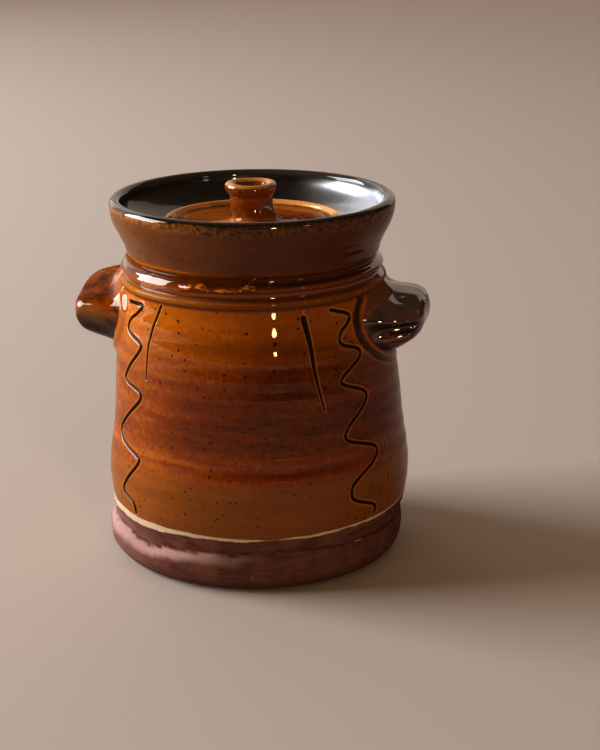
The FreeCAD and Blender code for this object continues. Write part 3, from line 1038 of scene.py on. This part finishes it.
@dataclass
class Lid:
    """The sunk lid: a plate with a raised edge, a locating ring below and a dimpled knob."""

    steps: int = 224
    plate_radius: float = 31.0
    ring_inner: float = 22.7
    ring_outer: float = 26.3
    ring_foot: float = 106.9
    ring_round: float = 0.7
    plate_round: float = 0.8
    upper_side: float = 116.0
    knob_lean: float = -0.4

    def outline(self) -> Outline:
        """The lid's half section, from under the plate out, up and in to the dimple.

        Returns:
            The outline, from axis to axis.
        """
        foot, rounding, edge = self.ring_foot, self.ring_round, self.plate_radius
        o = Outline([(0.0, LEDGE_HEIGHT)])
        o.run_to((self.ring_inner, LEDGE_HEIGHT), spacing=6.0)
        o.run_to((self.ring_inner, foot + rounding), spacing=2.4)
        o.corner_to((self.ring_inner, foot), (self.ring_inner + rounding, foot), pull=0.5, spacing=0.4)
        o.run_to((self.ring_outer - rounding, foot), spacing=1.1)
        o.corner_to((self.ring_outer, foot), (self.ring_outer, foot + rounding), pull=0.5, spacing=0.4)
        o.run_to((self.ring_outer, LEDGE_HEIGHT), spacing=2.4)
        o.run_to((edge - self.plate_round, LEDGE_HEIGHT), spacing=2.0)
        o.corner_to((edge, LEDGE_HEIGHT), (edge, LEDGE_HEIGHT + self.plate_round), pull=0.5, spacing=0.4)
        o.run_to((edge, 116.9), spacing=0.9)
        # The raised edge, the plate, the knob's stem, its bulge, its rim and the dimple.
        o.run_to((edge, 117.8), (30.5, 118.4), (29.8, 118.4), spacing=0.35)
        o.run_to((29.0, 118.4), (28.6, 117.9), (28.2, 117.1), spacing=0.35)
        o.run_to((28.0, 116.6), (26.4, 116.5), (24.5, 116.6), spacing=0.6)
        o.run_to((20, 116.9), (15.5, 116.5), (11.2, 116.9), spacing=0.9)
        o.run_to((8.6, 117.3), (7.5, 119.6), (7.3, 123.0), spacing=0.5)
        o.run_to((7.2, 125.6), (7.6, 126.3), (8.5, 127.1), (8.9, 128.1), spacing=0.4)
        o.run_to((9.0, 129.3), (8.6, 130.3), (7.4, 130.35), spacing=0.35)
        o.run_to((6.3, 130.3), (5.6, 129.3), (4.9, 128.3), spacing=0.4)
        o.run_to((4.0, 127.3), (2.0, 127.3), (0.0, 127.3), spacing=0.8)
        return o

    def build(self) -> bpy.types.Object:
        """Throw the lid and pull its knob a little out of true.

        Returns:
            The finished mesh.
        """
        piece = turn("lid_turned", self.outline(), self.steps)
        clay = Clay(piece)
        height, angle, radius = clay.height, clay.angle, clay.radius
        turned = np.radians(angle)
        upper = height > self.upper_side
        rings = 0.02 * np.sin(math.tau * radius / 3.1 + turned) * band(radius, 11, 13, 26, 28)
        rings = rings + 0.03 * lumps(clay.at, 9.0) * rise(-height, -127, -118)
        clay.at[:, 2] += np.where(upper, rings, 0.0)
        flare = 1.9 * hump(height, 117.6, 2.2) * rise(-radius, -13, -9.5) * upper * rise(-angle, -20, 70)
        clay.swell(0.12 * np.sin(3 * turned) * hump(height, 128.5, 2.0) - flare)
        clay.at[:, 0] += self.knob_lean * rise(height, 118, 127)
        clay.at[:, 2] -= 0.12 * (1 + np.sin(turned * 2 + 0.6)) * rise(height, 128, 130.3)
        # The raised edge and the knob's rim are marked for thin glaze that is also painted brighter as a
        # highlight.
        thin_bright_edge = np.maximum(hump(height, 118.2, 1.3) * rise(radius, 27, 28.2), hump(height, 130.4, 1.0))
        under = (height < 115.5) | (clay.normal[:, 2] < -0.3) & (height < 117)
        clay.store(
            edge=thin_bright_edge, well=hump(radius, 27.6, 1.3) * upper * (height < 118),
            dimple=(1 - rise(radius, 2.6, 4.6)) * upper, under=np.where(under, 1.0, 0.0))
        clay.settle()
        return piece


# ---------------------------------------------------------------- finishes


GLAZED = {"Roughness": 0.4, "Coat Roughness": 0.04, "Coat IOR": 1.46, "IOR": 1.5, "Specular IOR Level": 0.0}


@dataclass(frozen=True)
class Amber:
    """The honey glaze itself: dark where it lies thick, bright where it breaks thin over an edge."""

    dark: Colour = (0.088, 0.015, 0.0008)
    middle: Colour = (0.235, 0.048, 0.0012)
    bright: Colour = (0.50, 0.14, 0.003)
    thin: Colour = (0.70, 0.26, 0.02)
    olive: Colour = (0.255, 0.088, 0.006)
    black: Colour = (0.010, 0.006, 0.004)

    def coat(self, bench: Bench, lean: Value | float) -> None:
        """Start with the glaze's own colour, with its soft level bands, streaks and patches.

        Args:
            bench: The material being mixed.
            lean: More than nought for brighter, less for darker.
        """
        bands = bench.noise(7.5, 3.0, vector=bench.stretched(0.07, 0.07, 1.0))
        streaks = bench.noise(2.2, 2.0, vector=bench.stretched(0.12, 0.12, 1.0))
        patches = bench.noise(24.0, 4.0)
        mottle = bench.noise(1.7, 4.0, 0.65)
        tone = bands * 0.31 + streaks * 0.20 + patches * 0.16 + mottle * 0.33 + lean
        bench.colour = bench.ramp(tone, ((0.28, self.dark), (0.50, self.middle), (0.72, self.bright)))

    def specks(self, bench: Bench) -> None:
        """Scatter small dark iron specks over the colour."""
        bench.lay(bench.dots(2.3, 0.30) * 0.8, self.black)
        bench.lay(bench.dots(8.0, 0.42) * 0.85, self.black)


class PotBench(Bench):
    """The pot's material, with the values that several of its coats share."""

    def __init__(self) -> None:
        """Start the material and work out the shared values."""
        super().__init__("pot_surface")
        self.x, _, self.z = self.axes()
        self.ragged = self.noise(1.6, 3.0) - 0.5
        self.left = self.step(-self.x, -10.0, 34.0)
        self.inside = self.attribute("inside")
        self.scratch = self.attribute("scratch")
        self.cut = self.step(self.ragged * 0.25 - self.scratch, -0.1, 0.12)


@dataclass(frozen=True)
class PotFinish:
    """The pot's surface: glaze, pale slip line, bare clay, scratched lines, dark lip and black inside.

    The neck's left and right ramps are the glaze's colours from the bead, at nought, up to the collar, at
    one; the left one is lighter and the right one darker, as painted light and shade from the window at the
    left.
    """

    amber: Amber = Amber()
    clay: Colour = (0.205, 0.088, 0.068)
    clay_deep: Colour = (0.115, 0.045, 0.034)
    clay_raw: Colour = (0.24, 0.10, 0.075)
    # Pale dust and painted sheen from the window, laid on the left.
    clay_dust_and_sheen: Colour = (0.56, 0.37, 0.34)
    # Partly the crack's own colour and partly a painted shadow line.
    crack: Colour = (0.07, 0.012, 0.007)
    slip: Colour = (0.62, 0.49, 0.35)
    hollow: Colour = (0.050, 0.040, 0.034)
    # Partly the inside glaze's lustre and partly a painted reflection of the window.
    lustre_and_painted_reflection: Colour = (0.38, 0.395, 0.43)
    shadowed: Colour = (0.085, 0.026, 0.005)
    scratch: Colour = (0.024, 0.010, 0.004)
    neck_foot: float = 95.0
    neck_reach: float = 15.0
    neck_left_painted_lit: tuple[tuple[float, Colour], ...] = (
        (0.04, (0.30, 0.080, 0.004)), (0.11, (0.16, 0.040, 0.004)), (0.18, (0.34, 0.130, 0.015)),
        (0.27, (0.40, 0.170, 0.030)), (0.33, (0.12, 0.026, 0.002)), (0.40, (0.40, 0.105, 0.004)),
        (0.50, (0.26, 0.060, 0.003)), (0.62, (0.10, 0.018, 0.001)), (0.76, (0.08, 0.014, 0.001)),
        (0.82, (0.55, 0.190, 0.015)), (0.90, (0.19, 0.069, 0.015)), (1.0, (0.145, 0.056, 0.015)))
    neck_right_painted_shade: tuple[tuple[float, Colour], ...] = (
        (0.04, (0.10, 0.022, 0.002)), (0.11, (0.12, 0.026, 0.003)), (0.18, (0.20, 0.065, 0.010)),
        (0.27, (0.24, 0.085, 0.014)), (0.33, (0.09, 0.018, 0.002)), (0.40, (0.20, 0.050, 0.004)),
        (0.56, (0.16, 0.036, 0.003)), (0.62, (0.05, 0.010, 0.001)), (0.76, (0.05, 0.010, 0.001)),
        (0.82, (0.16, 0.045, 0.006)), (0.90, (0.075, 0.018, 0.003)), (1.0, (0.075, 0.018, 0.003)))

    def dress(self, piece: bpy.types.Object) -> None:
        """Mix the material and put it on.

        Args:
            piece: The pot.
        """
        on = PotBench()
        self.foot(on)
        bare = on.colour
        for coat in (self.belly, self.neck, self.marks, self.lip):
            coat(on)
        # The pale lustre inside is laid on the right only, on the wall facing the window at the left:
        # partly the glaze's own lustre and partly a painted reflection of the window.
        east = on.step(on.x + (on.noise(12.0, 3.0) - 0.5) * 16.0, 4.0, 26.0)
        east = east * (1.0 - on.step(on.z, 122.6, 124.4))
        on.lay(on.inside, on.mix(east, self.hollow, self.lustre_and_painted_reflection))
        glazed = on.step(on.attribute("glazed") + on.ragged * 0.5, -0.12, 0.12)
        on.colour = on.mix(glazed, bare, on.colour)
        grain = on.noise(0.5, 4.0, 0.7)
        relief = (on.noise(1.1, 2.0) * 0.14) * glazed + (1.0 - glazed) * grain
        bowl = on.inside * (1.0 - on.step(on.z, 123.0, 125.0))
        rough = glazed * (0.4 - 0.08 * bowl) + (1.0 - glazed) * (0.42 + 0.2 * grain)
        on.finish(piece, GLAZED | {
            "Metallic": bowl * 0.8, "Roughness": rough, "Coat Weight": self.gloss(on, glazed),
            "Coat Roughness": 0.035, "Coat IOR": 1.54, "Normal": on.bump(relief, 0.2)})

    def belly(self, on: PotBench) -> None:
        """The amber below the neck: a darker belt, a bright throwing ledge and an olive foot, with painted
        light: lighter on the left and towards the shoulder, darker on the right, and the ledge's line a
        painted highlight on the left.

        Args:
            on: The pot's material.
        """
        amber, x, z = self.amber, on.x, on.z
        belt = on.band(z, 38.0, 39.2, 52.0, 76.0)
        # Painted light: the glaze is laid lighter towards the shoulder and on the left, where the window
        # lights it, and darker on the right, away from it; the shoulder's lift is partly the glaze's own
        # tone.
        level = on.step(z, 62.0, 92.0) * 0.12 - belt * 0.035 - on.step(x, -10.0, 22.0) * 0.035
        right = on.step(x, -6.0, 26.0) * on.step(z, 48.0, 76.0) * 0.115
        across = 0.06 - on.step(x, -42.0, -4.0) * 0.10 - right
        amber.coat(on, on.attribute("ring") * 0.03 + level + across - 0.005)
        wave = z + on.ragged * 0.6 + (on.noise(26.0, 1.0) - 0.5) * 2.0
        # The ledge's bright line is partly the glaze breaking over the ledge and partly a painted
        # highlight: it is laid on the left only, where the ledge catches the window.
        ledge = on.band(wave, 43.6, 44.3, 44.5, 46.0) * on.step(-x, -8.0, 30.0)
        on.lay(ledge * 0.5, amber.bright)
        low = 1.0 - on.step(z + on.ragged * 1.2, 37.4, 39.0)
        on.lay(low * 0.6, amber.olive)
        on.lay(on.band(z, 70.0, 96.0, 96.0, 97.0) * 0.25, amber.thin)
        amber.specks(on)

    def neck(self, on: PotBench) -> None:
        """Lay the neck's bands over the belly: bead, crest, channel and collar.

        Args:
            on: The pot's material.
        """
        climb = on.z + on.ragged * 0.7 + (on.noise(9.0, 2.0) - 0.5) * 0.8 - self.neck_foot
        climb = climb / self.neck_reach
        # Painted light: the neck takes the lighter ramp on the left, towards the window, and the darker
        # ramp on the right.
        neck = on.mix(on.left, on.ramp(climb, self.neck_right_painted_shade), on.ramp(climb, self.neck_left_painted_lit))
        cloud = on.step(on.noise(11.0, 3.0), 0.46, 0.62) * on.step(on.z, 107.5, 110.0)
        neck = on.mix(cloud * (0.25 + 0.35 * on.left), neck, self.amber.dark)
        on.lay(on.step(on.z, 95.4, 96.2) * 0.82, neck)
        thin = on.step(on.attribute("thin") + on.ragged * 0.5, 0.35, 0.8)
        on.lay(thin * 0.9, self.amber.thin)

    def marks(self, on: PotBench) -> None:
        """Darken the lugs' seams, with painted shade that is stronger on the right, and the scratched
        lines, whose edges are pale.

        Args:
            on: The pot's material.
        """
        seam = on.attribute("seam") + on.ragged * 1.1
        east = on.step(on.x, -10.0, 10.0)
        on.lay((1.0 - on.step(seam, 1.5, 2.6)) * 0.45, self.amber.bright)
        # The black in the seam is partly glaze pooled in the crease and partly painted shade: it is
        # stronger on the right, away from the window.
        on.lay((1.0 - on.step(seam, 0.5, 1.7)) * (0.25 + 0.65 * east), self.amber.black)
        halo = on.step(0.7 - on.scratch + on.ragged * 0.8, 0.0, 0.5) * on.step(on.scratch, -0.2, 0.15)
        on.lay(halo * 0.35, self.amber.thin)
        on.lay(on.cut, self.scratch)

    def lip(self, on: PotBench) -> None:
        """Break the glaze into a speckled band under the lip, and blacken the lip itself.

        Args:
            on: The pot's material.
        """
        drop = on.step(on.noise(14.0, 2.0), 0.4, 0.65)
        broken = on.step(on.z + on.ragged * 2.2 + drop - on.left * 1.2, 120.8, 122.6)
        speckle = on.step(on.noise(1.3, 4.0, 0.65), 0.44, 0.60)
        on.lay(broken * 0.9, self.shadowed)
        on.lay(broken * (0.09 + 0.36 * on.left), self.amber.thin)
        on.lay(broken * speckle * 0.75, self.amber.black)
        edge = on.step(on.z + on.ragged * 1.3 + drop * 0.5, 124.6, 125.5)
        on.lay(edge, self.amber.black)

    def foot(self, on: PotBench) -> None:
        """The bare red clay of the foot, with its dust and painted sheen, its crack with a painted shadow
        line, painted shade near the floor, and the pale slip above it.

        Args:
            on: The pot's material.
        """
        turned = on.noise(1.2, 3.0, vector=on.stretched(0.10, 0.10, 1.0))
        shade = on.noise(6.0, 5.0) * 0.5 + turned * 0.5
        body = on.ramp(shade, ((0.36, self.clay_deep), (0.64, self.clay)))
        # Painted shade: the clay is darker in the lowest millimetres, where the pot meets the floor.
        on.colour = on.mix(on.step(on.z, 1.0, 7.0), on.mix(0.55, body, self.clay_deep), body)
        on.lay(on.step(on.noise(0.9, 3.0), 0.52, 0.72) * 0.25, self.clay_raw)
        on.lay(on.dots(5.0, 0.28) * 0.6, self.slip)
        # Partly dust and partly painted sheen: the lip's shoulder at the left and the left side of the foot
        # are laid paler, where the window lights them.
        on.lay(on.attribute("layer") * 0.75, self.clay_dust_and_sheen)
        on.lay(on.step(-on.x, 18.0, 50.0) * 0.22, self.clay_dust_and_sheen)
        # The dark line along the torn lip is partly the crack's own colour and partly a painted shadow line
        # under the lip.
        on.lay(on.attribute("torn") * 0.8, self.crack)
        slipped = on.step(on.attribute("slip") + on.ragged * 0.7, -0.2, 0.25)
        on.lay(slipped, self.slip)

    def gloss(self, on: PotBench, glazed: Value) -> Value:
        """How thick the clear top of the glaze is: fullest on the crest and lip, least on bead and channel.

        Args:
            on: The pot's material.
            glazed: One where the pot is glazed.

        Returns:
            The weight of the coat.
        """
        shiny = on.band(on.z, 99.2, 100.4, 105.0, 105.7) + on.step(on.z, 123.6, 125.0)
        channel = on.band(on.z, 105.0, 105.7, 107.4, 109.0) * on.left
        bead = on.band(on.z, 96.0, 97.0, 98.8, 99.8)
        return glazed * (1.0 - 0.75 * on.cut) * (0.6 + 0.4 * shiny - 0.42 * bead - 0.42 * channel)


@dataclass(frozen=True)
class LugFinish:
    """A lug's glaze, dark or orange as set; the right lug's dark setting is partly painted shade.

    lean, shade and glow say how bright the glaze is, how blotched with black and how bright on its ridge,
    below how dark its downward faces are painted as shade, polish how strongly it shines, and veil how dull
    it is on top.
    """

    amber: Amber = Amber()
    lean: float = 0.0
    shade: float = 0.4
    glow: float = 0.5
    below: float = 0.5
    # The default black is painted shade in the pressed crease under the front edge.
    pressed: Colour = Amber.black
    polish: float = 1.46
    veil: float = 0.0

    def dress(self, piece: bpy.types.Object) -> None:
        """Mix the material and put it on.

        Args:
            piece: The lug.
        """
        bench = Bench(f"{piece.name}_glaze")
        top = bench.attribute("top")
        self.amber.coat(bench, self.lean)
        blots = bench.step(bench.noise(6.0, 4.0, 0.6), 0.44, 0.60)
        bench.lay(blots * self.shade, self.amber.black)
        bench.lay(bench.attribute("ridge") * self.glow, self.amber.bright)
        # Painted shade: faces turned downwards are laid darker.
        under = bench.step(-top, 0.05, 0.5)
        bench.lay(under * self.below, self.amber.black)
        # The pressed face under the front edge takes this colour; the right lug's black there is painted
        # shade in the crease.
        bench.lay(bench.attribute("pressed") * 0.85, self.pressed)
        lobe = bench.attribute("lobe") * bench.step(bench.noise(4.0, 3.0), 0.3, 0.6)
        bench.lay(lobe * 0.5, self.amber.middle)
        root = bench.attribute("root") * bench.step(top, -0.1, 0.3)
        bench.lay(bench.step(root, 0.5, 0.95) * self.glow, self.amber.bright)
        gloss = 1.0 - under * 0.55 - bench.step(top, 0.62, 0.85) * self.veil
        bench.finish(piece, GLAZED | {
            "Coat Weight": gloss, "Coat IOR": self.polish,
            "Normal": bench.bump(bench.noise(1.5, 2.0), 0.012)})


@dataclass(frozen=True)
class LidFinish:
    """The lid's brighter glaze, dark in the groove, with a painted highlight on its raised edge, and bare
    below.
    """

    amber: Amber = Amber(middle=(0.34, 0.090, 0.008), bright=(0.58, 0.21, 0.025), thin=(0.85, 0.42, 0.10))
    clay: Colour = (0.13, 0.048, 0.034)

    def dress(self, piece: bpy.types.Object) -> None:
        """Mix the material and put it on.

        Args:
            piece: The lid.
        """
        bench = Bench("lid_surface")
        _, _, z = bench.axes()
        knob = bench.step(z, 117.6, 120.0)
        self.amber.coat(bench, 0.03 - knob * 0.13)
        self.amber.specks(bench)
        bench.lay(bench.attribute("well") * 0.5, self.amber.dark)
        # Partly thin glaze over the edges and partly a painted highlight on the raised edge.
        edge = bench.step(bench.attribute("edge") + bench.noise(1.6, 3.0) * 0.5, 0.45, 0.9)
        bench.lay(edge * (0.95 - 0.45 * knob), self.amber.thin)
        bench.lay(bench.attribute("dimple") * 0.8, self.amber.dark)
        under = bench.attribute("under")
        bench.lay(under, self.clay)
        gloss = (1.0 - under) * (0.6 + 0.4 * bench.maths("MAXIMUM", edge, knob))
        bench.finish(piece, GLAZED | {
            "Roughness": 0.4 + 0.2 * under, "Coat Weight": gloss,
            "Normal": bench.bump(bench.noise(1.4, 2.0), 0.006)})


# ---------------------------------------------------------------- the studio


@dataclass(frozen=True)
class Lamp:
    """A flat soft light that looks at the jar.

    Its bearing is in degrees from the front towards the right, its power in watts, and the rest in
    millimetres. aim is the height that it looks at.
    """

    name: str
    bearing: float
    height: float
    distance: float
    wide: float
    tall: float
    power: float
    colour: Colour = (1.0, 1.0, 1.0)
    aim: float = 70.0
    shape: str = "RECTANGLE"

    def hang(self) -> None:
        """Place the light and turn it to the jar."""
        data = bpy.data.lights.new(self.name, "AREA")
        data.shape = self.shape
        data.size, data.size_y = self.wide * MM, self.tall * MM
        data.energy = self.power
        data.color = self.colour
        lamp = bpy.data.objects.new(self.name, data)
        bpy.context.scene.collection.objects.link(lamp)
        turned = math.radians(self.bearing)
        away = Vector((math.sin(turned) * self.distance, -math.cos(turned) * self.distance, self.height))
        lamp.location = away * MM
        look = Vector((0.0, 0.0, self.aim * MM)) - lamp.location
        lamp.rotation_euler = look.to_track_quat("-Z", "Y").to_euler()


@dataclass(frozen=True)
class Studio:
    """A plain pale floor, a window on the left, dim lamps in front and the camera.

    The camera's distance and height are in millimetres, its angles in degrees: it stands at its bearing and
    is then turned, tilted and rolled.
    """

    floor_colour: Colour = (0.58, 0.505, 0.455)
    floor_grain: Colour = (0.45, 0.38, 0.32)
    floor_radius: float = 6000.0
    room_colour: Colour = (1.0, 0.66, 0.42)
    wall_light: float = 0.07
    ceiling_light: float = 0.22
    tone_gamma: float = 0.8
    lamps: tuple[Lamp, ...] = (
        Lamp("window", -89.0, 740.0, 1800.0, 1310.0, 1240.0, 68.0, (0.95, 0.98, 1.0)),
        Lamp("window_far", -128.0, 790.0, 1800.0, 1650.0, 1350.0, 6.5, (0.88, 0.95, 1.0)),
        Lamp("backdrop", 190.0, 1300.0, 3200.0, 5000.0, 2600.0, 30.0, (1.0, 0.87, 0.76), 500.0),
        Lamp("pane", 55.0, 420.0, 1500.0, 140.0, 280.0, 0.5, (0.80, 0.88, 1.0), shape="ELLIPSE"),
        Lamp("lamp_high", 28.0, 455.0, 1400.0, 60.0, 60.0, 1.0, (1.0, 0.72, 0.34), shape="ELLIPSE"),
        Lamp("lamp_low", 28.0, 300.0, 1400.0, 100.0, 230.0, 3.6, (1.0, 0.72, 0.34), shape="ELLIPSE"),
    )
    camera_bearing: float = 12.0
    camera_distance: float = 595.63
    camera_height: float = 242.98
    yaw: float = 1.517
    pitch: float = 16.996
    roll: float = -0.562
    lens: float = 84.666
    sensor: float = 36.0

    def build(self) -> None:
        """Lay the floor, light it and set up the camera."""
        self.lay_floor()
        for lamp in self.lamps:
            lamp.hang()
        self.light_room()
        view = bpy.context.scene.view_settings
        view.view_transform = "Standard"
        view.gamma = self.tone_gamma
        self.set_camera()

    def lay_floor(self) -> None:
        """A wide pale floor that fades into the room."""
        alone()
        bpy.ops.mesh.primitive_circle_add(vertices=96, radius=self.floor_radius * MM, fill_type="NGON")
        floor = named("floor")
        bench = Bench("floor_plain")
        bench.colour = bench.mix(bench.noise(2.5, 4.0) * 0.12, self.floor_colour, self.floor_grain)
        bench.finish(floor, {"Roughness": 0.9})

    def light_room(self) -> None:
        """Fill the room with soft light, stronger from overhead than from the walls."""
        world = bpy.data.worlds.new("room")
        world.use_nodes = True
        tree = world.node_tree
        away = tree.nodes.new("ShaderNodeTexCoord")
        parts = tree.nodes.new("ShaderNodeSeparateXYZ")
        climb = tree.nodes.new("ShaderNodeMapRange")
        climb.interpolation_type = "SMOOTHSTEP"
        lights = {"To Min": self.wall_light, "To Max": self.ceiling_light}
        for name, limit in ({"From Min": 0.05, "From Max": 0.75} | lights).items():
            climb.inputs[name].default_value = limit
        tree.links.new(away.outputs["Generated"], parts.inputs[0])
        tree.links.new(parts.outputs["Z"], climb.inputs["Value"])
        background = tree.nodes["Background"]
        background.inputs["Color"].default_value = (*self.room_colour, 1.0)
        tree.links.new(climb.outputs["Result"], background.inputs["Strength"])
        bpy.context.scene.world = world

    def set_camera(self) -> None:
        """Stand the camera where the jar is seen from, then turn, tilt and roll it."""
        yaw, pitch, roll = (math.radians(v) for v in (self.yaw, self.pitch, self.roll))
        ahead = Vector((math.sin(yaw) * math.cos(pitch), math.cos(yaw) * math.cos(pitch), -math.sin(pitch)))
        right = ahead.cross(Vector((0, 0, 1))).normalized()
        upward = right.cross(ahead)
        level_right = math.cos(roll) * right + math.sin(roll) * upward
        level_up = math.cos(roll) * upward - math.sin(roll) * right
        spin = Matrix.Rotation(math.radians(self.camera_bearing), 3, "Z")
        axes = [spin @ v for v in (level_right, level_up, -ahead)]
        data = bpy.data.cameras.new("camera")
        data.lens, data.sensor_width = self.lens, self.sensor
        data.clip_start, data.clip_end = 0.02, 30.0
        camera = bpy.data.objects.new("camera", data)
        bpy.context.scene.collection.objects.link(camera)
        place = Matrix(axes).transposed().to_4x4()
        place.translation = spin @ (Vector((0.0, -self.camera_distance, self.camera_height)) * MM)
        camera.matrix_world = place
        bpy.context.scene.camera = camera


def main() -> None:
    """Build the jar piece by piece, dress it and light it."""
    logging.basicConfig(level=logging.INFO, format="%(name)s: %(message)s")
    Studio().build()
    pot = Pot().build()
    PotFinish().dress(pot)
    left = Lug(Side.LEFT, LEFT_RINGS, LEFT_SECTION).build()
    orange = LugFinish(
        lean=0.04, shade=0.55, glow=0.5, below=0.85, pressed=(0.20, 0.095, 0.014), veil=0.85)
    orange.dress(left)
    right = Lug(Side.RIGHT, RIGHT_RINGS, RIGHT_SECTION, crease=0.9).build()
    # The right lug's darker, blacker glaze is partly painted shade for the side away from the window.
    LugFinish(lean=-0.2, shade=0.95, glow=0.2, below=0.5, polish=2.0).dress(right)
    lid = Lid().build()
    LidFinish().dress(lid)
    for piece in (pot, left, right):
        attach(piece, "root")
    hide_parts("jar")
    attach(lid, "root")
    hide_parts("lid")
    for piece in (pot, left, right, lid):
        piece.data.calc_loop_triangles()
        LOG.info("%s: %d triangles", piece.name, len(piece.data.loop_triangles))


if __name__ == "__main__":
    main()
